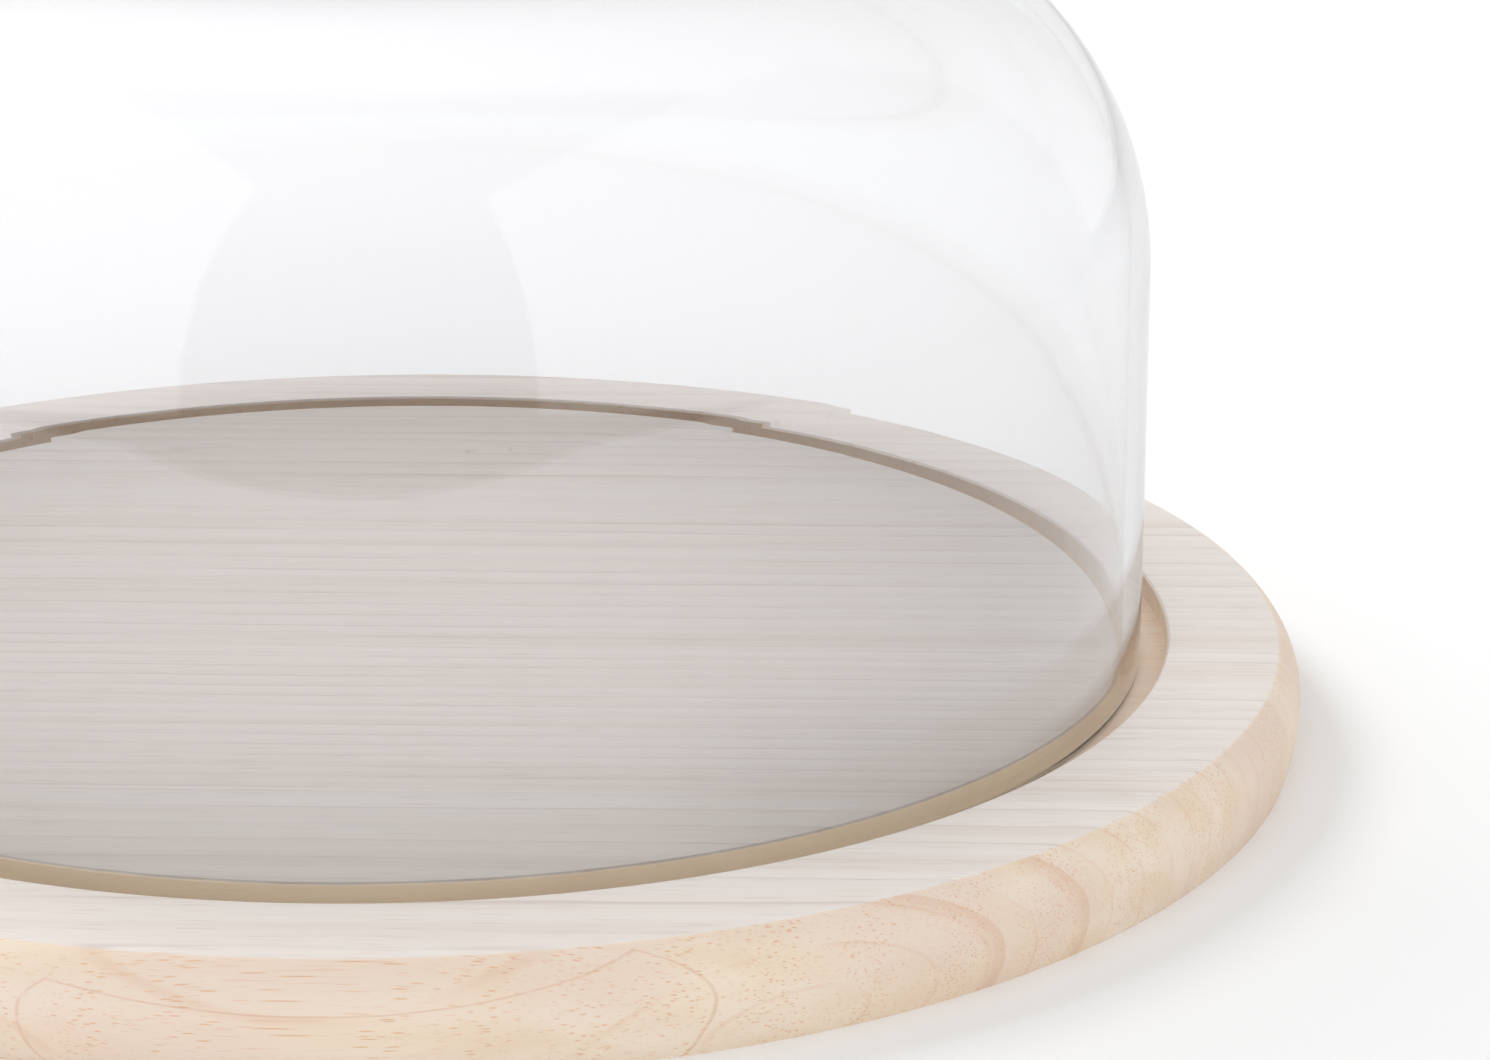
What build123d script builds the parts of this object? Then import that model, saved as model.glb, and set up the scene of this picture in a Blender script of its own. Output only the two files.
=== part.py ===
from build123d import *
import math
import os

# Cheese dome: a round wooden board with a groove, a glass dome whose rim stands in the groove,
# and a turned wooden knob clamped to the glass by one screw. Millimetres, +Z up, origin in the
# middle of the board's underside.

# ---------------------------------------------------------------- board
board_diameter = 300.0
board_thickness = 16.5
edge_widest_height = 8.0  # height at which the rounded edge stands furthest out
edge_top_inset = 4.0  # from the widest point in to the crease round the top
edge_foot_inset = 1.3  # from the widest point in to the edge of the underside
edge_easing = 0.4

# The board is turned from a panel of edge-glued staves, which lie along X
stave_count = 5
stave_width = 65.0
panel_offset = 12.0  # the panel's middle lies this far behind the board's

groove_depth = 4.0
plateau_clearance = 0.5  # from the plateau to the glass round it
groove_gap = 4.3  # from the glass to the groove's outer wall

# ---------------------------------------------------------------- glass dome
rim_diameter = 247.4
glass_wall = 3.0
rim_rounding = 1.2
wall_height = 65.2  # from the rim to the start of the shoulder
wall_draft = 0.9  # degrees
shoulder_radius = 58.4
crown_radius = 300.0
land_diameter = 26.0  # flat spot round the hole, inside and outside
glass_hole_diameter = 8.0
hole_chamfer = 0.3

# ---------------------------------------------------------------- knob and its fastening
knob_base_diameter = 24.0
knob_band = 2.0
knob_foot_diameter = 20.5  # the neck's width where it meets the band
knob_neck_diameter = 18.0
knob_neck_height = 9.0
knob_neck_rounding = 3.0
knob_head_diameter = 37.0
knob_head_height = 22.0
knob_height = 33.0

gasket_diameter = 22.0
gasket_thickness = 1.5
sleeve_clearance = 0.25  # from the outer gasket's sleeve to the hole in the glass
sleeve_gap = 0.4  # from the sleeve's end to the inner gasket

washer_diameter = 20.0
washer_thickness = 1.2
washer_chamfer = 0.2

screw_diameter = 5.0
screw_clearance = 0.25  # from the screw to the washer and the gaskets
screw_head_diameter = 9.5
screw_head_height = 3.4
screw_head_rounding = 1.6
screw_tip_chamfer = 0.6
recess_length = 5.0
recess_width = 1.1
recess_depth = 1.8

insert_diameter = 8.0
insert_length = 13.0
insert_recess = 0.5  # how far the insert is sunk into the knob
insert_groove_depth = 0.4
insert_groove_width = 1.2
insert_groove_count = 3
thread_clearance = 0.05
insert_clearance = 0.02
bore_relief = 1.5  # room past the insert's end
tip_setback = 0.7  # the screw ends this far inside the insert

# ---------------------------------------------------------------- levels and radii that follow
board_radius = board_diameter / 2
rim_radius = rim_diameter / 2
groove_floor = board_thickness - groove_depth
plateau_radius = rim_radius - glass_wall - plateau_clearance
groove_radius = rim_radius + groove_gap

# The shoulder's arc starts square to the drafted wall; the crown's arc is level at the land's edge
# and meets the shoulder where the two arcs share a tangent
draft = math.radians(wall_draft)
land_radius = land_diameter / 2
wall_top_radius = rim_radius - wall_height * math.tan(draft)
shoulder_x = wall_top_radius - shoulder_radius * math.cos(draft)
shoulder_z = groove_floor + wall_height - shoulder_radius * math.sin(draft)
crown_run = shoulder_x - land_radius
crown_rise = math.sqrt((crown_radius - shoulder_radius) ** 2 - crown_run**2)
crown_z = shoulder_z - crown_rise
crown_meets = math.degrees(math.atan2(crown_rise, crown_run))
dome_top = crown_z + crown_radius
dome_ceiling = dome_top - glass_wall

knob_base = dome_top + gasket_thickness
washer_top = dome_ceiling - gasket_thickness
head_seat = washer_top - washer_thickness
insert_base = knob_base + insert_recess
screw_tip = insert_base + insert_length - tip_setback

knob_base_radius = knob_base_diameter / 2
knob_foot_radius = knob_foot_diameter / 2
neck_radius = knob_neck_diameter / 2
hole_radius = glass_hole_diameter / 2
screw_radius = screw_diameter / 2
clear_radius = screw_radius + screw_clearance
insert_radius = insert_diameter / 2

os.makedirs("parts", exist_ok=True)


def save(piece, name):
    piece.label = name
    export_step(piece, f"parts/{name}.step")


# ---------------------------------------------------------------- the board, whole
with BuildPart() as board_blank:
    with BuildSketch(Plane.XZ):
        with BuildLine():
            widest = (board_radius, edge_widest_height)
            upper = TangentArc(widest, (board_radius - edge_top_inset, board_thickness), tangent=(0, 1))
            lower = TangentArc(widest, (board_radius - edge_foot_inset, 0), tangent=(0, -1))
            Polyline(
                upper @ 1,
                (groove_radius, board_thickness),
                (groove_radius, groove_floor),
                (plateau_radius, groove_floor),
                (plateau_radius, board_thickness),
                (0, board_thickness),
                (0, 0),
                lower @ 1,
            )
        make_face()
        top_corners = vertices().group_by(Axis.Y)[-1].filter_by(lambda corner: corner.X > 0)
        chamfer(top_corners, length=edge_easing)
    revolve(axis=Axis.Z)

# ---------------------------------------------------------------- its staves, front to back
glue_joints = [panel_offset + (n - stave_count / 2) * stave_width for n in range(1, stave_count)]

for n in range(stave_count):
    with BuildPart() as stave:
        add(board_blank.part)
        if n > 0:
            split(bisect_by=Plane((0, glue_joints[n - 1], 0), z_dir=(0, 1, 0)), keep=Keep.TOP)
        if n < stave_count - 1:
            split(bisect_by=Plane((0, glue_joints[n], 0), z_dir=(0, 1, 0)), keep=Keep.BOTTOM)
    save(stave.part, f"stave_{n + 1}")


# ---------------------------------------------------------------- the glass
def dome_line(inset):
    """The dome's outer line from rim to hole, moved into the glass by inset."""
    reach = shoulder_radius - inset
    wall_end = (shoulder_x + reach * math.cos(draft), shoulder_z + reach * math.sin(draft))
    wall = Line((rim_radius - inset / math.cos(draft), groove_floor), wall_end)
    CenterArc((shoulder_x, shoulder_z), reach, wall_draft, crown_meets - wall_draft)
    crown = CenterArc((land_radius, crown_z), crown_radius - inset, crown_meets, 90 - crown_meets)
    land = Line(crown @ 1, (hole_radius, dome_top - inset))
    return wall @ 0, land @ 1


with BuildPart() as glass_dome:
    with BuildSketch(Plane.XZ):
        with BuildLine():
            rim_outside, hole_outside = dome_line(0)
            rim_inside, hole_inside = dome_line(glass_wall)
            Line(rim_outside, rim_inside)
            Line(hole_outside, hole_inside)
        make_face()
        fillet(vertices().group_by(Axis.Y)[0], radius=rim_rounding)
        chamfer(vertices().group_by(Axis.X)[0], length=hole_chamfer)
    revolve(axis=Axis.Z)
save(glass_dome.part, "glass_dome")

# ---------------------------------------------------------------- soft gaskets and washer
with BuildPart() as outer_gasket:
    with BuildSketch(Plane.XY.offset(dome_top)):
        Circle(gasket_diameter / 2)
    extrude(amount=gasket_thickness)
    with BuildSketch(Plane.XY.offset(dome_top)):
        Circle(hole_radius - sleeve_clearance)
    extrude(amount=sleeve_gap - glass_wall)
    with Locations((0, 0, dome_top)):
        Hole(clear_radius)
save(outer_gasket.part, "outer_gasket")

with BuildPart() as inner_gasket:
    with BuildSketch(Plane.XY.offset(washer_top)):
        Circle(gasket_diameter / 2)
        Circle(clear_radius, mode=Mode.SUBTRACT)
    extrude(amount=gasket_thickness)
save(inner_gasket.part, "inner_gasket")

with BuildPart() as washer:
    with BuildSketch(Plane.XY.offset(head_seat)):
        Circle(washer_diameter / 2)
        Circle(clear_radius, mode=Mode.SUBTRACT)
    extrude(amount=washer_thickness)
    outer_edges = edges().filter_by(GeomType.CIRCLE).group_by(SortBy.RADIUS)[-1]
    chamfer(outer_edges, length=washer_chamfer)
save(washer.part, "washer")

# ---------------------------------------------------------------- screw, its head inside the dome
with BuildPart() as knob_screw:
    with BuildSketch(Plane.XY.offset(head_seat - screw_head_height)):
        Circle(screw_head_diameter / 2)
    extrude(amount=screw_head_height)
    fillet(edges().group_by(Axis.Z)[0], radius=screw_head_rounding)
    with BuildSketch(Plane.XY.offset(head_seat)):
        Circle(screw_radius)
    extrude(amount=screw_tip - head_seat)
    chamfer(edges().group_by(Axis.Z)[-1], length=screw_tip_chamfer)
    with BuildSketch(Plane.XY.offset(head_seat - screw_head_height)):
        Rectangle(recess_length, recess_width)
        Rectangle(recess_width, recess_length)
    extrude(amount=recess_depth, mode=Mode.SUBTRACT)
save(knob_screw.part, "knob_screw")

# ---------------------------------------------------------------- threaded insert in the knob
groove_pitch = insert_length / (insert_groove_count + 1)

with BuildPart() as knob_insert:
    with BuildSketch(Plane.XY.offset(insert_base)):
        Circle(insert_radius)
        Circle(screw_radius + thread_clearance, mode=Mode.SUBTRACT)
    extrude(amount=insert_length)
    for n in range(1, insert_groove_count + 1):
        with BuildSketch(Plane.XY.offset(insert_base + n * groove_pitch - insert_groove_width / 2)):
            Circle(insert_radius)
            Circle(insert_radius - insert_groove_depth, mode=Mode.SUBTRACT)
        extrude(amount=insert_groove_width, mode=Mode.SUBTRACT)
save(knob_insert.part, "knob_insert")

# ---------------------------------------------------------------- turned knob
with BuildPart() as knob:
    with BuildSketch(Plane.XZ):
        with BuildLine():
            widest = (knob_head_diameter / 2, knob_base + knob_head_height)
            top = Spline(widest, (0, knob_base + knob_height), tangents=[(0, 1), (-1, 0)])
            underside = TangentArc(top @ 0, (neck_radius, knob_base + knob_neck_height), tangent=(0, -1))
            Polyline(
                underside @ 1,
                (knob_foot_radius, knob_base + knob_band),
                (knob_base_radius, knob_base + knob_band),
                (knob_base_radius, knob_base),
                (0, knob_base),
                top @ 1,
            )
        make_face()
        neck_corner = vertices().sort_by_distance(underside @ 1)[0]
        fillet(neck_corner, radius=knob_neck_rounding)
    revolve(axis=Axis.Z)
    fillet(edges().group_by(Axis.Z)[0], radius=edge_easing)
    with BuildSketch(Plane.XY.offset(knob_base)):
        Circle(insert_radius + insert_clearance)
    extrude(amount=insert_recess + insert_length + bore_relief, mode=Mode.SUBTRACT)
save(knob.part, "knob")
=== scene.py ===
from math import asin, atan2, cos, hypot, pi, radians, sin, sqrt, tan

import bmesh
import bpy
from mathutils import Matrix, Vector


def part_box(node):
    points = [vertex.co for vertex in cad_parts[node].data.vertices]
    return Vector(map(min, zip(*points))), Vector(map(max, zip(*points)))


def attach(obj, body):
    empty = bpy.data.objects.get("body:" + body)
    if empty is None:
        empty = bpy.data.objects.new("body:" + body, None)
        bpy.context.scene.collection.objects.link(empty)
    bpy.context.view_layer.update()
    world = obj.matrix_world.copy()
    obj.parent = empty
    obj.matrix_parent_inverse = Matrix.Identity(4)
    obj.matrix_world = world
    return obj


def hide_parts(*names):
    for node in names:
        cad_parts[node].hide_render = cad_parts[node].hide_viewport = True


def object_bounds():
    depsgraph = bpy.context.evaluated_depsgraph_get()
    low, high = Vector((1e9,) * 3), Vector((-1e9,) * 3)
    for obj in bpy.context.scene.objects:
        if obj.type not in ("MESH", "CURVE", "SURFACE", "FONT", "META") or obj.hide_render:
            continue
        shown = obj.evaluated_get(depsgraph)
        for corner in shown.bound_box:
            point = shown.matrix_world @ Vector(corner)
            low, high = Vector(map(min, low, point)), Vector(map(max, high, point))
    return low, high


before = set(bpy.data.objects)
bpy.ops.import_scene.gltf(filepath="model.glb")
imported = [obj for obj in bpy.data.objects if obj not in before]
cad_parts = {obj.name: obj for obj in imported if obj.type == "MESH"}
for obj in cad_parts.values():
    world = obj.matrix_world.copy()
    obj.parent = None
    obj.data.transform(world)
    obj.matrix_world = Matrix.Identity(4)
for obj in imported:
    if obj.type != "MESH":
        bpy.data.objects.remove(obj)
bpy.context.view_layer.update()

MM = 0.001

# ---------------------------------------------------------------- sizes that model.glb doesn't give
BOARD_WIDEST = 8.0 * MM  # height at which the rounded edge stands furthest out
BOARD_TOP_INSET = 4.0 * MM
BOARD_FOOT_INSET = 1.3 * MM
BOARD_EASING = 0.4 * MM
GROOVE_DEPTH = 4.0 * MM
GROOVE_GAP = 4.3 * MM
PLATEAU_CLEARANCE = 0.5 * MM

GLASS_WALL = 3.0 * MM
GLASS_RIM_ROUNDING = 1.2 * MM
GLASS_WALL_HEIGHT = 65.2 * MM
GLASS_DRAFT = radians(0.9)
GLASS_SHOULDER = 58.4 * MM
GLASS_CROWN = 300.0 * MM
GLASS_LAND = 13.0 * MM
GLASS_HOLE = 4.0 * MM
GLASS_HOLE_CHAMFER = 0.3 * MM

TURNED_STEPS = 360  # sides of a large turned piece
SMALL_STEPS = 96


def top_of(node):
    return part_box(node)[1].z


def foot_of(node):
    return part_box(node)[0].z


BOARD_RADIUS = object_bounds()[1].y
BOARD_TOP = top_of("stave_3")
GLASS_FOOT = foot_of("glass_dome") + 0.06 * MM  # a hair clear of the groove
RIM_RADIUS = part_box("glass_dome")[1].x + GLASS_RIM_ROUNDING * tan(GLASS_DRAFT)
PLATEAU_RADIUS = RIM_RADIUS - GLASS_WALL - PLATEAU_CLEARANCE
GROOVE_RADIUS = RIM_RADIUS + GROOVE_GAP
STAVES = ["stave_1", "stave_2", "stave_3", "stave_4", "stave_5"]


# ---------------------------------------------------------------- shader maths
class Value:
    """A node's output, which takes part in sums and products."""

    def __init__(self, shader, socket):
        self.shader = shader
        self.socket = socket

    def __add__(self, other):
        return self.shader.maths("ADD", self, other)

    __radd__ = __add__

    def __sub__(self, other):
        return self.shader.maths("SUBTRACT", self, other)

    def __rsub__(self, other):
        return self.shader.maths("SUBTRACT", other, self)

    def __mul__(self, other):
        return self.shader.maths("MULTIPLY", self, other)

    __rmul__ = __mul__

    def __truediv__(self, other):
        return self.shader.maths("DIVIDE", self, other)

    def __rtruediv__(self, other):
        return self.shader.maths("DIVIDE", other, self)

    def __lt__(self, other):
        return self.shader.maths("LESS_THAN", self, other)

    def __gt__(self, other):
        return self.shader.maths("GREATER_THAN", self, other)

    def root(self):
        return self.shader.maths("SQRT", self, 0.0)

    def fraction(self):
        return self.shader.maths("FRACT", self, 0.0)

    def step(self, low, high):
        """A smooth step from 0 at low to 1 at high."""
        node = self.shader.add(
            "ShaderNodeMapRange",
            {"Value": self, "From Min": low, "From Max": high},
            interpolation_type="SMOOTHSTEP",
        )
        return Value(self.shader, node.outputs[0])


class Shader:
    """Builds one node tree, a material's or the world's."""

    def __init__(self, tree):
        self.tree = tree
        tree.nodes.clear()

    def add(self, kind, inputs=(), **settings):
        node = self.tree.nodes.new(kind)
        for name, setting in settings.items():
            setattr(node, name, setting)
        for name, value in dict(inputs).items():
            if isinstance(value, Value):
                self.tree.links.new(value.socket, node.inputs[name])
            else:
                node.inputs[name].default_value = value
        return node

    def output(self, node, name):
        return Value(self, node.outputs[name])

    def maths(self, operation, a, b):
        return Value(self, self.add("ShaderNodeMath", {0: a, 1: b}, operation=operation).outputs[0])

    def mix(self, factor, a, b, blend="MIX"):
        inputs = {0: factor, 6: a, 7: b}
        node = self.add("ShaderNodeMix", inputs, data_type="RGBA", blend_type=blend)
        return Value(self, node.outputs[2])

    def place(self):
        """Object coordinates x, y and z, in millimetres."""
        coords = self.add("ShaderNodeTexCoord")
        parts = self.add("ShaderNodeSeparateXYZ", {0: self.output(coords, "Object")})
        return tuple(Value(self, out) / MM for out in parts.outputs)

    def vector(self, x, y, z):
        return Value(self, self.add("ShaderNodeCombineXYZ", {0: x, 1: y, 2: z}).outputs[0])

    def noise(self, at, scale=1.0, detail=2.0, roughness=0.5):
        inputs = {"Vector": at, "Scale": scale, "Detail": detail, "Roughness": roughness}
        return Value(self, self.add("ShaderNodeTexNoise", inputs).outputs[0])

    def principled(self, **inputs):
        named = {name.replace("_", " "): value for name, value in inputs.items()}
        return self.add("ShaderNodeBsdfPrincipled", named)

    def either(self, factor, first, second):
        """The first surface where the factor is 0, the second where it is 1."""
        inputs = {0: factor, 1: self.output(first, 0), 2: self.output(second, 0)}
        return self.add("ShaderNodeMixShader", inputs)

    def show(self, node, kind="ShaderNodeOutputMaterial"):
        self.add(kind, {0: self.output(node, 0)})

    def bump(self, height, strength, distance):
        inputs = {"Height": height, "Strength": strength, "Distance": distance}
        return Value(self, self.add("ShaderNodeBump", inputs).outputs[0])


def colour(red, green, blue):
    """A screen colour, 0 to 255, as the linear colour that a shader takes."""
    linear = []
    for part in (red, green, blue):
        share = part / 255
        linear.append(share / 12.92 if share <= 0.04045 else ((share + 0.055) / 1.055) ** 2.4)
    return (*linear, 1.0)


def material(name):
    made = bpy.data.materials.new(name)
    made.use_nodes = True
    return made, Shader(made.node_tree)


# ---------------------------------------------------------------- wood
HEART_LIGHT = colour(239, 224, 207)
HEART_WARM = colour(234, 214, 190)
HEART_PINK = colour(231, 211, 197)
RING_LINE = colour(212, 160, 126)
PORE = colour(219, 160, 112)
# painted light: a paler colour on the groove's inner wall, standing in for light that reaches it through
# the glass
INNER_WALL_PAINTED_LIGHT = colour(252, 237, 212)
# painted shade: a darker colour on the groove's floor, where the recess is shaded
GROOVE_FLOOR_PAINTED_SHADE = colour(196, 172, 150)
WASH = colour(238, 231, 226)
WASH_STREAK = colour(224, 212, 205)
WASH_LINE = colour(196, 180, 172)
BLACK = (0.0, 0.0, 0.0, 1.0)
PAINTED_GROOVE_GLOW = (0.16, 0.13, 0.09, 1.0)  # painted light: a glow on the groove's inner wall, standing in for light that the glass foot gathers there

# All in millimetres, as the wood's patterns are
WASH_EDGE = 0.35  # the wash thins out this far below the top
RIPPLE = 0.6  # how far the rings waver
WANDER = 3.0  # how far the rings drift along a stave
BEND = 6.0  # how far the streaks drift along a stave
SKIN = 0.1  # how close to a face of the groove a point counts as on it

# The wild grain at the front of the board, in millimetres: its upper face slants up towards the
# back from WILD_HEIGHT at WILD_FRONT, and its rear face stands upright behind it
WILD_HEIGHT = 9.7
WILD_FRONT = 149.8
WILD_SLOPE = 0.64
WILD_BACK = 143.0
WILD_TURN = 0.055


class Grain:
    """The marks in a piece of wood whose rings lie round a pith line (across, up)."""

    def __init__(self, shader, pith, spacing, shift, along):
        self.shader = shader
        self.pith = pith
        self.shift = shift
        x, y, z = shader.place()
        self.radius = (x * x + y * y).root()
        self.height = z
        self.run, self.across, self.up = (x, y, z) if along == "X" else (z, x, y)
        self.wander = shader.noise(self.stretched(120, 40, shifted="run")) - 0.5
        self.ripple = shader.noise(self.stretched(30, 9, shifted="across")) - 0.5
        self.bent = self.across + self.wander * BEND
        self.wide = shader.noise(self.stretched(190, 6, bent=True, shifted="run"), detail=3.0)
        fine = self.stretched(45, 0.7, bent=True, shifted="up")
        self.fine = shader.noise(fine, detail=3.0, roughness=0.6)
        self.hair = shader.noise(self.stretched(16, 0.3, bent=True, shifted="run"), detail=1.0)
        self.pore = self.vessels()
        self.grow(spacing)

    def stretched(self, length, width, bent=False, shifted=None):
        """Place in a pattern whose marks are about this long in the grain and this wide."""
        place = {
            "run": self.run / length,
            "across": (self.bent if bent else self.across) / width,
            "up": self.up / width,
        }
        if shifted:
            place[shifted] = place[shifted] + self.shift
        return self.shader.vector(*place.values())

    def vessels(self):
        """Cells drawn out along the grain, some of which are open."""
        s = self.shader
        inputs = {"Vector": self.stretched(13, 0.42, bent=True), "Scale": 1.0, "Randomness": 1.0}
        cells = s.add("ShaderNodeTexVoronoi", inputs, feature="F1")
        chance = s.add("ShaderNodeSeparateColor", {0: s.output(cells, "Color")})
        crowded = s.noise(self.stretched(26, 5, shifted="run")).step(0.3, 0.7) * 0.3
        opened = (s.output(chance, "Red") + crowded).step(0.52, 0.74)
        return (1 - s.output(cells, "Distance").step(0.14, 0.34)) * opened

    def grow(self, spacing):
        """The rings: the distance from the pith, the late wood and the line that ends a ring."""
        out = self.across - self.pith[0] + self.ripple * RIPPLE
        high = self.up - self.pith[1] + self.ripple * RIPPLE
        self.distance = (out * out + high * high).root()
        phase = ((self.distance + self.wander * WANDER) / spacing + self.shift).fraction()
        fading = self.shader.noise(self.stretched(45, 5, shifted="run")).step(0.35, 0.62)
        self.late = phase.step(0.3, 0.92)
        self.line = phase.step(0.86, 0.95) * (1 - phase.step(0.955, 1.0)) * fading

    def strong_ring(self, radius):
        """A dark ring behind the pith, sharp outside and fading inwards."""
        beyond = self.across.step(self.pith[0] - 3, self.pith[0] + 6)
        near = self.distance + self.wander * 0.8 - radius
        return near.step(-3.0, -0.1) * (1 - near.step(0.0, 0.3)) * beyond * 0.8

    def wild_edge(self):
        """The broken line round the wild grain."""
        slant = self.up - WILD_HEIGHT - (self.across + WILD_FRONT) * WILD_SLOPE
        above = slant / hypot(1, WILD_SLOPE)
        behind = self.across - self.run * WILD_TURN + WILD_BACK
        patch = self.shader.maths("MAXIMUM", above, behind) + self.ripple * 0.7
        broken = self.shader.noise(self.stretched(4, 1.5)).step(0.25, 0.55) * 0.6 + 0.4
        return patch.step(-0.2, -0.04) * (1 - patch.step(0.0, 0.1)) * broken


def bare_wood(s, grain, strong):
    cloud = s.noise(grain.stretched(60, 22, shifted="up")).step(0.42, 0.66)
    body = s.mix(grain.wide.step(0.35, 0.7), HEART_LIGHT, HEART_WARM)
    body = s.mix(cloud * 0.7, body, HEART_PINK)
    body = s.mix(grain.late * 0.16 + grain.fine.step(0.5, 0.8) * 0.2, body, HEART_WARM)
    body = s.mix(grain.line * 0.2 + strong * (grain.hair * 0.3 + 0.22), body, RING_LINE)
    body = s.mix(grain.hair.step(0.6, 0.72) * 0.26, body, PORE)
    return s.mix(grain.pore * 0.62, body, PORE)


def white_wash(s, grain):
    streak = grain.wide.step(0.42, 0.72) * 0.4 + grain.fine.step(0.46, 0.76) * 0.3
    washed = s.mix(streak, WASH, WASH_STREAK)
    washed = s.mix(grain.late * 0.1 + grain.line * 0.34, washed, WASH_LINE)
    washed = s.mix(grain.hair.step(0.6, 0.78) * 0.1, washed, WASH_LINE)
    return s.mix(grain.pore * 0.35, washed, WASH_LINE)


def board_finish(s, grain, body):
    """The wash on the board's top, painted light on the groove's inner wall (a paler colour and a glow),
    and painted shade on the groove's floor.
    """
    top = BOARD_TOP / MM
    edge = grain.height + (grain.fine - 0.5) * 0.3
    cover = edge.step(top - WASH_EDGE, top - WASH_EDGE / 3)
    in_groove = grain.height > (BOARD_TOP - GROOVE_DEPTH) / MM - SKIN
    inner_wall = (grain.radius < PLATEAU_RADIUS / MM + SKIN) * in_groove
    floor = (grain.radius < GROOVE_RADIUS / MM - SKIN) * in_groove * (1 - inner_wall)
    # painted light: the groove's inner wall made paler
    body = s.mix(inner_wall * 0.7, body, INNER_WALL_PAINTED_LIGHT)
    # painted shade: the groove's floor darkened
    body = s.mix(floor * 0.25, body, GROOVE_FLOOR_PAINTED_SHADE)
    # painted light: the groove's inner wall glows where the wash doesn't cover it
    glow = s.mix(inner_wall * (1 - cover), BLACK, PAINTED_GROOVE_GLOW)
    return s.mix(cover * 0.96, body, white_wash(s, grain)), glow


def wood(name, pith, spacing, shift, tone, along="X", washed=False, strong_rings=(), wild=False):
    made, s = material(name)
    grain = Grain(s, pith, spacing, shift, along)
    strong = grain.line * 0.0
    for radius in strong_rings:
        strong = strong + grain.strong_ring(radius)
    if wild:
        strong = strong + grain.wild_edge()
    body, glow = bare_wood(s, grain, strong), BLACK
    if washed:
        body, glow = board_finish(s, grain, body)
    relief = grain.fine * 0.5 + grain.hair * 0.3 - grain.pore * 1.2
    surface = s.principled(
        Base_Color=s.mix(1.0, body, tone, blend="MULTIPLY"),
        Roughness=0.48 + grain.fine * 0.16 + grain.pore * 0.2,
        Normal=s.bump(relief, 0.2, 0.1 * MM),
        # painted light: the glow on the groove's inner wall, black elsewhere
        Emission_Color=glow,
        Emission_Strength=1.0,
    )
    s.show(surface)
    made.cycles.emission_sampling = "NONE"
    return made


# ---------------------------------------------------------------- glass, silicone, metals
GLASS_TINT = (0.913, 0.915, 0.924, 1.0)
GLASS_TINT_LIGHT = (0.917, 0.919, 0.928, 1.0)


def clear_glass():
    """Clear glass that lets the key lamp's light through to the board."""
    made, s = material("clear_glass")
    x, y, z = s.place()
    uneven = s.noise(s.vector(x / 60, y / 60, z / 90), detail=1.0)
    surface = s.principled(
        Base_Color=s.mix(uneven, GLASS_TINT, GLASS_TINT_LIGHT),
        Transmission_Weight=1.0,
        Roughness=0.0,
        IOR=1.5,
        Normal=s.bump(uneven, 0.2, 0.3 * MM),
    )
    path = s.add("ShaderNodeLightPath")
    open_way = s.add("ShaderNodeBsdfTransparent", {"Color": (0.95, 0.95, 0.95, 1.0)})
    s.show(s.either(s.output(path, "Is Shadow Ray"), surface, open_way))
    return made


def silicone():
    made, s = material("silicone")
    bloom = s.noise(s.vector(*s.place()), scale=0.8, detail=3.0)
    surface = s.principled(
        Base_Color=s.mix(bloom, colour(222, 224, 225), colour(236, 237, 237)),
        Roughness=0.4 + bloom * 0.2,
        Transmission_Weight=0.25,
        IOR=1.41,
        Normal=s.bump(bloom, 0.1, 0.1 * MM),
    )
    s.show(surface)
    return made


def turned_metal(name, light, dark, roughness):
    """Metal with the fine rings that turning leaves round the object's axis."""
    made, s = material(name)
    x, y, z = s.place()
    radius = (x * x + y * y).root()
    rings = s.noise(s.vector(radius * 9, z * 9, 0.0), detail=2.0)
    cloud = s.noise(s.vector(x, y, z), scale=0.3, detail=2.0)
    surface = s.principled(
        Base_Color=s.mix(cloud, light, dark),
        Metallic=1.0,
        Roughness=roughness + rings * 0.15,
        Normal=s.bump(rings, 0.12, 0.05 * MM),
    )
    s.show(surface)
    return made


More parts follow.
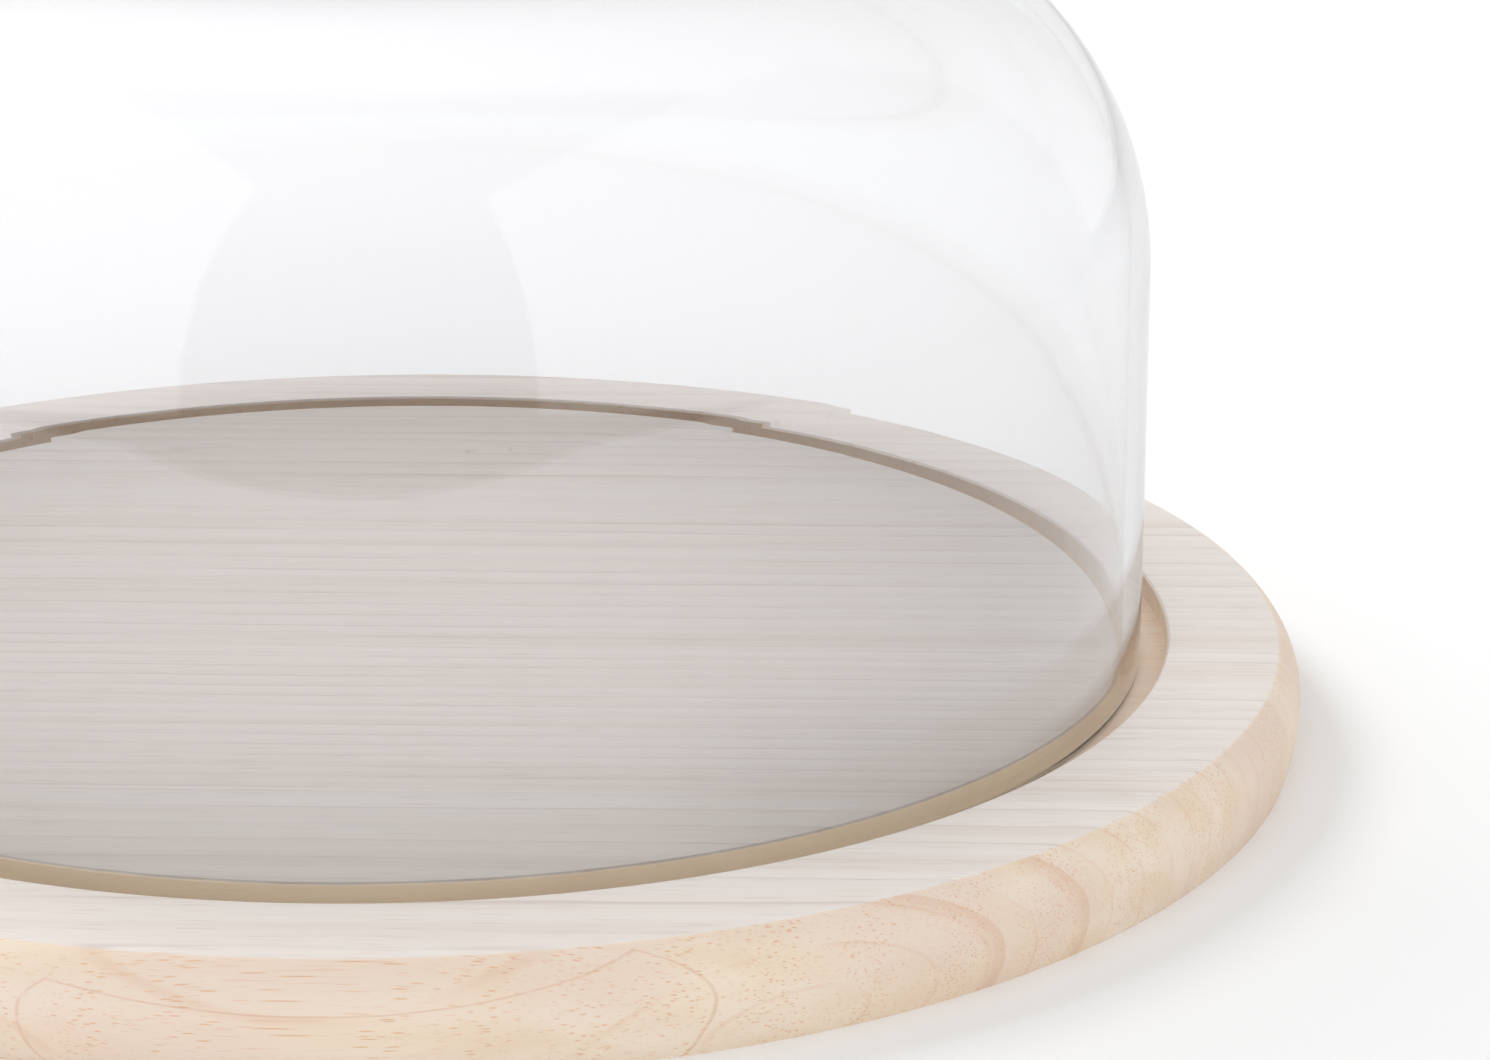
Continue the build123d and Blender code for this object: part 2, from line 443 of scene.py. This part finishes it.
# ---------------------------------------------------------------- turned pieces
def lathe_tree():
    """Geometry Nodes: turns a closed outline in the XZ plane about Z."""
    tree = bpy.data.node_groups.new("lathe", "GeometryNodeTree")
    face = tree.interface
    face.new_socket("Outline", in_out="INPUT", socket_type="NodeSocketGeometry")
    face.new_socket("Sides", in_out="INPUT", socket_type="NodeSocketInt")
    face.new_socket("Seam", in_out="INPUT", socket_type="NodeSocketFloat")
    face.new_socket("Finish", in_out="INPUT", socket_type="NodeSocketMaterial")
    face.new_socket("Turned", in_out="OUTPUT", socket_type="NodeSocketGeometry")

    def add(kind, links=(), **settings):
        node = tree.nodes.new(kind)
        for name, setting in settings.items():
            setattr(node, name, setting)
        for name, value in dict(links).items():
            if isinstance(value, (int, float)):
                node.inputs[name].default_value = value
            else:
                tree.links.new(value, node.inputs[name])
        return node

    def maths(operation, a, b):
        return add("ShaderNodeMath", {0: a, 1: b}, operation=operation).outputs[0]

    given = add("NodeGroupInput").outputs
    count = add("GeometryNodeAttributeDomainSize", {0: given["Outline"]}).outputs["Point Count"]
    rows = maths("ADD", count, 1)
    columns = maths("ADD", given["Sides"], 1)
    grid = add("GeometryNodeMeshGrid", {"Vertices X": columns, "Vertices Y": rows})
    index = add("GeometryNodeInputIndex").outputs[0]
    column = maths("FLOOR", maths("DIVIDE", maths("ADD", index, 0.5), rows), 0.0)
    row = maths("SUBTRACT", index, maths("MULTIPLY", column, rows))
    wrapped = maths("FLOORED_MODULO", row, count)
    place = add("GeometryNodeInputPosition").outputs[0]
    sampled = add(
        "GeometryNodeSampleIndex",
        {"Geometry": given["Outline"], "Value": place, "Index": wrapped},
        data_type="FLOAT_VECTOR",
    ).outputs[0]
    turn = maths("DIVIDE", maths("MULTIPLY", column, 2 * pi), given["Sides"])
    turned = add("ShaderNodeVectorRotate", {"Vector": sampled, "Angle": turn}, rotation_type="Z_AXIS")
    moved = add("GeometryNodeSetPosition", {"Geometry": grid.outputs[0], "Position": turned.outputs[0]})
    merged = add("GeometryNodeMergeByDistance", {"Geometry": moved.outputs[0], "Distance": given["Seam"]})
    smooth = add("GeometryNodeSetShadeSmooth", {"Geometry": merged.outputs[0]})
    real = add("GeometryNodeRealizeInstances", {"Geometry": smooth.outputs[0]})
    finished = add("GeometryNodeSetMaterial", {"Geometry": real.outputs[0], "Material": given["Finish"]})
    out = tree.nodes.new("NodeGroupOutput")
    tree.links.new(finished.outputs[0], out.inputs[0])
    return tree


LATHE = lathe_tree()
SHARP = radians(32)
SEAM = 0.002 * MM


def linked(name, mesh):
    piece = bpy.data.objects.new(name, mesh)
    bpy.context.scene.collection.objects.link(piece)
    return piece


def outward(mesh):
    """Merges doubles, points the faces outwards and keeps the sharp edges sharp."""
    work = bmesh.new()
    work.from_mesh(mesh)
    bmesh.ops.remove_doubles(work, verts=work.verts, dist=SEAM)
    bmesh.ops.dissolve_degenerate(work, dist=SEAM, edges=work.edges)
    bmesh.ops.recalc_face_normals(work, faces=work.faces)
    for each in work.faces:
        each.smooth = True
    work.to_mesh(mesh)
    work.free()
    mesh.set_sharp_from_angle(angle=SHARP)


def turned(name, outline, finish, sides=SMALL_STEPS):
    """A turned solid from its closed outline of (radius, height) points."""
    profile = bpy.data.meshes.new(name + "_outline")
    rows = range(len(outline))
    edges = [(n, (n + 1) % len(outline)) for n in rows]
    profile.from_pydata([(radius, 0, height) for radius, height in outline], edges, [])
    seed = linked(name + "_seed", profile)
    modifier = seed.modifiers.new("lathe", "NODES")
    modifier.node_group = LATHE
    values = {"Sides": sides, "Seam": SEAM, "Finish": finish}
    for item in LATHE.interface.items_tree:
        if item.name in values:
            modifier[item.identifier] = values[item.name]
    shown = bpy.context.evaluated_depsgraph_get()
    mesh = bpy.data.meshes.new_from_object(seed.evaluated_get(shown))
    seed.modifiers.remove(modifier)
    bpy.data.objects.remove(seed)
    mesh.name = name
    outward(mesh)
    return linked(name, mesh)


def arc(centre, radius, start, end, steps):
    """Points on an arc, from angle start to angle end, both in radians."""
    turns = [start + (end - start) * n / steps for n in range(steps + 1)]
    return [(centre[0] + radius * cos(turn), centre[1] + radius * sin(turn)) for turn in turns]


# ---------------------------------------------------------------- board
FRONT_RINGS = (18.3, 29.7)  # radius in mm of the two rings that show most at the front


def edge_radius(inset, rise):
    """Radius of the arc that leaves the widest point upright and draws in by inset over rise."""
    return (rise**2 + inset**2) / (2 * inset)


def board_outline():
    upper_rise = BOARD_TOP - BOARD_WIDEST
    upper = edge_radius(BOARD_TOP_INSET, upper_rise)
    lower = edge_radius(BOARD_FOOT_INSET, BOARD_WIDEST)
    crease = asin((upper_rise - BOARD_EASING) / upper)
    lower_edge = arc((BOARD_RADIUS - lower, BOARD_WIDEST), lower, -asin(BOARD_WIDEST / lower), 0, 10)
    upper_edge = arc((BOARD_RADIUS - upper, BOARD_WIDEST), upper, 0, crease, 16)
    floor = BOARD_TOP - GROOVE_DEPTH
    eased = BOARD_TOP - BOARD_EASING
    top = [
        (BOARD_RADIUS - BOARD_TOP_INSET - BOARD_EASING, BOARD_TOP),
        (GROOVE_RADIUS + BOARD_EASING, BOARD_TOP),
        (GROOVE_RADIUS, eased),
        (GROOVE_RADIUS, floor),
        (PLATEAU_RADIUS, floor),
        (PLATEAU_RADIUS, eased),
        (PLATEAU_RADIUS - BOARD_EASING, BOARD_TOP),
        (0, BOARD_TOP),
    ]
    return [(0, 0)] + lower_edge + upper_edge[1:] + top


def cut(piece, joint, keep_behind):
    """Cuts the piece along the glue joint at this Y and closes the cut."""
    work = bmesh.new()
    work.from_mesh(piece.data)
    everything = list(work.verts) + list(work.edges) + list(work.faces)
    made = bmesh.ops.bisect_plane(
        work,
        geom=everything,
        plane_co=(0, joint, 0),
        plane_no=(0, 1, 0),
        clear_inner=keep_behind,
        clear_outer=not keep_behind,
    )
    rim = [each for each in made["geom_cut"] if isinstance(each, bmesh.types.BMEdge)]
    bmesh.ops.edgeloop_fill(work, edges=rim)
    work.to_mesh(piece.data)
    work.free()


def board():
    joints = [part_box(stave)[1].y for stave in STAVES[:-1]]
    # pith line (across, up), ring spacing, shift along the pattern, tone
    grain = {
        "stave_1": ((-135.0, 2.5), 5.8, 0.1, colour(255, 255, 254)),
        "stave_2": ((-2.0, 6.0), 4.3, 3.7, colour(255, 254, 253)),
        "stave_3": ((58.0, -14.0), 5.1, 7.1, colour(252, 251, 250)),
        "stave_4": ((60.0, 40.0), 4.6, 11.9, colour(251, 250, 249)),
        "stave_5": ((176.0, -12.0), 5.6, 17.3, colour(254, 253, 252)),
    }
    for n, stave in enumerate(STAVES):
        front = n == 0
        strong = FRONT_RINGS if front else ()
        finish = wood(stave + "_wood", *grain[stave], washed=True, strong_rings=strong, wild=front)
        piece = turned(stave + "_turned", board_outline(), finish, sides=TURNED_STEPS)
        if n > 0:
            cut(piece, joints[n - 1], keep_behind=True)
        if n < len(joints):
            cut(piece, joints[n], keep_behind=False)
        outward(piece.data)
        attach(piece, "board")
        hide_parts(stave)


# ---------------------------------------------------------------- glass dome
def dome_face(inset):
    """The dome's outer face from above the rim to the hole, moved in by inset."""
    wall_top = RIM_RADIUS - GLASS_WALL_HEIGHT * tan(GLASS_DRAFT)
    shoulder = (
        wall_top - GLASS_SHOULDER * cos(GLASS_DRAFT),
        GLASS_FOOT + GLASS_WALL_HEIGHT - GLASS_SHOULDER * sin(GLASS_DRAFT),
    )
    run = shoulder[0] - GLASS_LAND
    rise = sqrt((GLASS_CROWN - GLASS_SHOULDER) ** 2 - run**2)
    meets = atan2(rise, run)
    crown = (GLASS_LAND, shoulder[1] - rise)
    start = GLASS_FOOT + GLASS_RIM_ROUNDING
    face = []
    wall_steps = 12
    for n in range(wall_steps):
        height = start + (shoulder[1] - start) * n / wall_steps
        drawn_in = inset / cos(GLASS_DRAFT) + (height - GLASS_FOOT) * tan(GLASS_DRAFT)
        face.append((RIM_RADIUS - drawn_in, height))
    face += arc(shoulder, GLASS_SHOULDER - inset, GLASS_DRAFT, meets, 56)
    face += arc(crown, GLASS_CROWN - inset, meets, pi / 2, 24)[1:]
    return face


def glass_dome():
    outside = dome_face(0)
    inside = dome_face(GLASS_WALL)
    top, ceiling = outside[-1][1], inside[-1][1]
    corner = GLASS_FOOT + GLASS_RIM_ROUNDING
    outer_centre = (outside[0][0] - GLASS_RIM_ROUNDING, corner)
    inner_centre = (inside[0][0] + GLASS_RIM_ROUNDING, corner)
    outer_corner = arc(outer_centre, GLASS_RIM_ROUNDING, -pi / 2, 0, 8)
    inner_corner = arc(inner_centre, GLASS_RIM_ROUNDING, pi, 1.5 * pi, 8)
    hole = [
        (GLASS_HOLE + GLASS_HOLE_CHAMFER, top),
        (GLASS_HOLE, top - GLASS_HOLE_CHAMFER),
        (GLASS_HOLE, ceiling + GLASS_HOLE_CHAMFER),
        (GLASS_HOLE + GLASS_HOLE_CHAMFER, ceiling),
    ]
    outline = outer_corner[:-1] + outside + hole + inside[::-1] + inner_corner[1:]
    piece = turned("glass_dome_blown", outline, clear_glass(), sides=TURNED_STEPS)
    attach(piece, "dome")
    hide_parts("glass_dome")


# ---------------------------------------------------------------- knob and its fastening
def smoothed(node, finish):
    """A merged, smooth copy of a CAD node that stands for it."""
    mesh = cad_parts[node].data.copy()
    mesh.name = node + "_finished"
    outward(mesh)
    mesh.materials.clear()
    mesh.materials.append(finish)
    piece = linked(node + "_finished", mesh)
    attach(piece, "knob_set")
    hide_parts(node)


def knob_set():
    spindle = wood("knob_wood", (31.0, 12.0), 3.6, 5.3, colour(255, 250, 245), along="Z")
    steel = turned_metal("bright_steel", colour(206, 207, 209), colour(190, 191, 194), 0.16)
    brass = turned_metal("turned_brass", colour(222, 184, 112), colour(204, 164, 94), 0.22)
    soft = silicone()
    smoothed("knob", spindle)
    smoothed("outer_gasket", soft)
    smoothed("inner_gasket", soft)
    smoothed("washer", steel)
    smoothed("knob_screw", steel)
    smoothed("knob_insert", brass)


board()
glass_dome()
knob_set()

# ---------------------------------------------------------------- table and room
TABLE_FRONT = -0.387
TABLE_REACH = 3.0
TABLE_COLOUR = 0.9
TABLE_LIFT = 0.03  # brings the lit table to white where no shadow falls

ROOM_LOW = 0.14  # what the glass mirrors between the two panels
ROOM_HIGH = 0.5
ROOM_BEHIND = 1.0
ROOM_FAR = 0.5  # what the far side of the dome mirrors
ROOM_FILL = 0.7  # light from all round
FRONT_FILL = 0.6  # more of it from the front
PANEL_RADIANCE = 0.83

KEY_SHARE = 0.32  # light that the key lamp sends onto the table
KEY_DISTANCE = 1.6
KEY_SIZE = 0.75
KEY_FROM = (-0.50, 0.46, 0.73)


def light_paths(s):
    """1 or 0: seen straight or through glass; no diffuse bounce yet; not yet through the far glass."""
    path = s.add("ShaderNodeLightPath")
    unbounced = s.output(path, "Diffuse Depth") < 0.5
    unmirrored = s.output(path, "Glossy Depth") < 0.5
    near = s.output(path, "Transmission Depth") < 3.5
    return unbounced * unmirrored, unbounced, near


def staged_face(name, corners, finish):
    mesh = bpy.data.meshes.new(name)
    mesh.from_pydata(corners, [], [(0, 1, 2, 3)])
    mesh.materials.append(finish)
    linked(name, mesh)


def table():
    made, s = material("table_white")
    made.cycles.emission_sampling = "NONE"
    straight = light_paths(s)[0]
    white = (TABLE_COLOUR, TABLE_COLOUR, TABLE_COLOUR, 1.0)
    sheet = s.add("ShaderNodeBsdfDiffuse", {"Color": white})
    lift = s.add("ShaderNodeEmission", {"Color": (1, 1, 1, 1), "Strength": straight * TABLE_LIFT})
    s.show(s.add("ShaderNodeAddShader", {0: s.output(sheet, 0), 1: s.output(lift, 0)}))
    corners = [
        (-TABLE_REACH, TABLE_FRONT, 0),
        (TABLE_REACH, TABLE_FRONT, 0),
        (TABLE_REACH, TABLE_REACH, 0),
        (-TABLE_REACH, TABLE_REACH, 0),
    ]
    staged_face("table", corners, made)


def room():
    """A white room to look at, which lights the board evenly and shows darker in the glass."""
    world = bpy.data.worlds.new("room")
    bpy.context.scene.world = world
    world.use_nodes = True
    world.cycles.sampling_method = "NONE"
    s = Shader(world.node_tree)
    straight, unbounced, near = light_paths(s)
    coords = s.add("ShaderNodeTexCoord")
    parts = s.add("ShaderNodeSeparateXYZ", {0: s.output(coords, "Generated")})
    x, y, z = (Value(s, out) for out in parts.outputs)
    backward = y / (x * x + y * y + 0.0001).root()
    mirrored = z.step(0.55, 1.0) * (ROOM_HIGH - ROOM_LOW) + ROOM_LOW
    mirrored = near * mirrored + (1 - near) * ROOM_FAR
    mirrored = mirrored + backward.step(0.2, 0.4) * (ROOM_BEHIND - mirrored)
    fill = s.maths("MAXIMUM", y * -FRONT_FILL, 0.0) + ROOM_FILL
    strength = straight + (1 - straight) * (unbounced * mirrored + (1 - unbounced) * fill)
    background = s.add("ShaderNodeBackground", {"Color": (1, 1, 1, 1), "Strength": strength})
    s.show(background, kind="ShaderNodeOutputWorld")


def key_lamp():
    """A soft lamp from behind on the left, which gives the board its short shadow."""
    lamp = bpy.data.lights.new("key", "AREA")
    towards = Vector(KEY_FROM).normalized()
    lamp.shape = "DISK"
    lamp.size = KEY_SIZE
    lamp.energy = 4 * pi * KEY_SHARE * KEY_DISTANCE**2 / towards.z
    thing = bpy.data.objects.new("key", lamp)
    bpy.context.scene.collection.objects.link(thing)
    turn = towards.to_track_quat("Z", "Y").to_matrix()
    thing.matrix_world = Matrix.Translation(towards * KEY_DISTANCE) @ turn.to_4x4()
    thing.visible_camera = False
    thing.visible_glossy = False
    thing.visible_transmission = False


def panel(name, start, end, height):
    """An upright lit panel from start to end, which shows only where the glass mirrors it."""
    made, s = material(name)
    made.cycles.emission_sampling = "NONE"
    straight, unbounced, near = light_paths(s)
    glow = s.add("ShaderNodeEmission", {"Color": (1, 1, 1, 1), "Strength": PANEL_RADIANCE})
    nothing = s.add("ShaderNodeBsdfTransparent")
    s.show(s.either(unbounced * (1 - straight) * near, nothing, glow))
    corners = [(*start, 0), (*end, 0), (*end, height), (*start, height)]
    staged_face(name, corners, made)


table()
room()
key_lamp()
panel("right_panel", (0.400, -0.916), (0.928, 0.626), 1.43)
panel("left_panel", (-0.385, -0.925), (-0.973, 0.852), 1.57)

# ---------------------------------------------------------------- camera
CAMERA_DISTANCE = 0.6375
CAMERA_HEIGHT_ANGLE = radians(18.475)
CAMERA_ROUND = radians(5.0)
AIM_ASIDE = radians(0.498)
AIM_DOWN = radians(17.416)
AIM_ROLL = radians(0.687)
LENS = 91.81
SENSOR = 36.0


def camera():
    lens = bpy.data.cameras.new("camera")
    lens.sensor_width = SENSOR
    lens.lens = LENS
    lens.clip_start = 0.01
    thing = bpy.data.objects.new("camera", lens)
    bpy.context.scene.collection.objects.link(thing)
    reach = CAMERA_DISTANCE * cos(CAMERA_HEIGHT_ANGLE)
    place = Vector(
        (
            reach * sin(CAMERA_ROUND),
            -reach * cos(CAMERA_ROUND),
            BOARD_TOP + CAMERA_DISTANCE * sin(CAMERA_HEIGHT_ANGLE),
        )
    )
    ahead = Vector((sin(AIM_ASIDE) * cos(AIM_DOWN), cos(AIM_ASIDE) * cos(AIM_DOWN), -sin(AIM_DOWN)))
    side = ahead.cross(Vector((0, 0, 1))).normalized()
    above = side.cross(ahead)
    rolled_side = cos(AIM_ROLL) * side + sin(AIM_ROLL) * above
    rolled_up = cos(AIM_ROLL) * above - sin(AIM_ROLL) * side
    turn = Matrix((rolled_side, rolled_up, -ahead)).transposed()
    thing.matrix_world = Matrix.Translation(place) @ turn.to_4x4()
    bpy.context.scene.camera = thing


camera()
bpy.context.scene.view_settings.view_transform = "Standard"
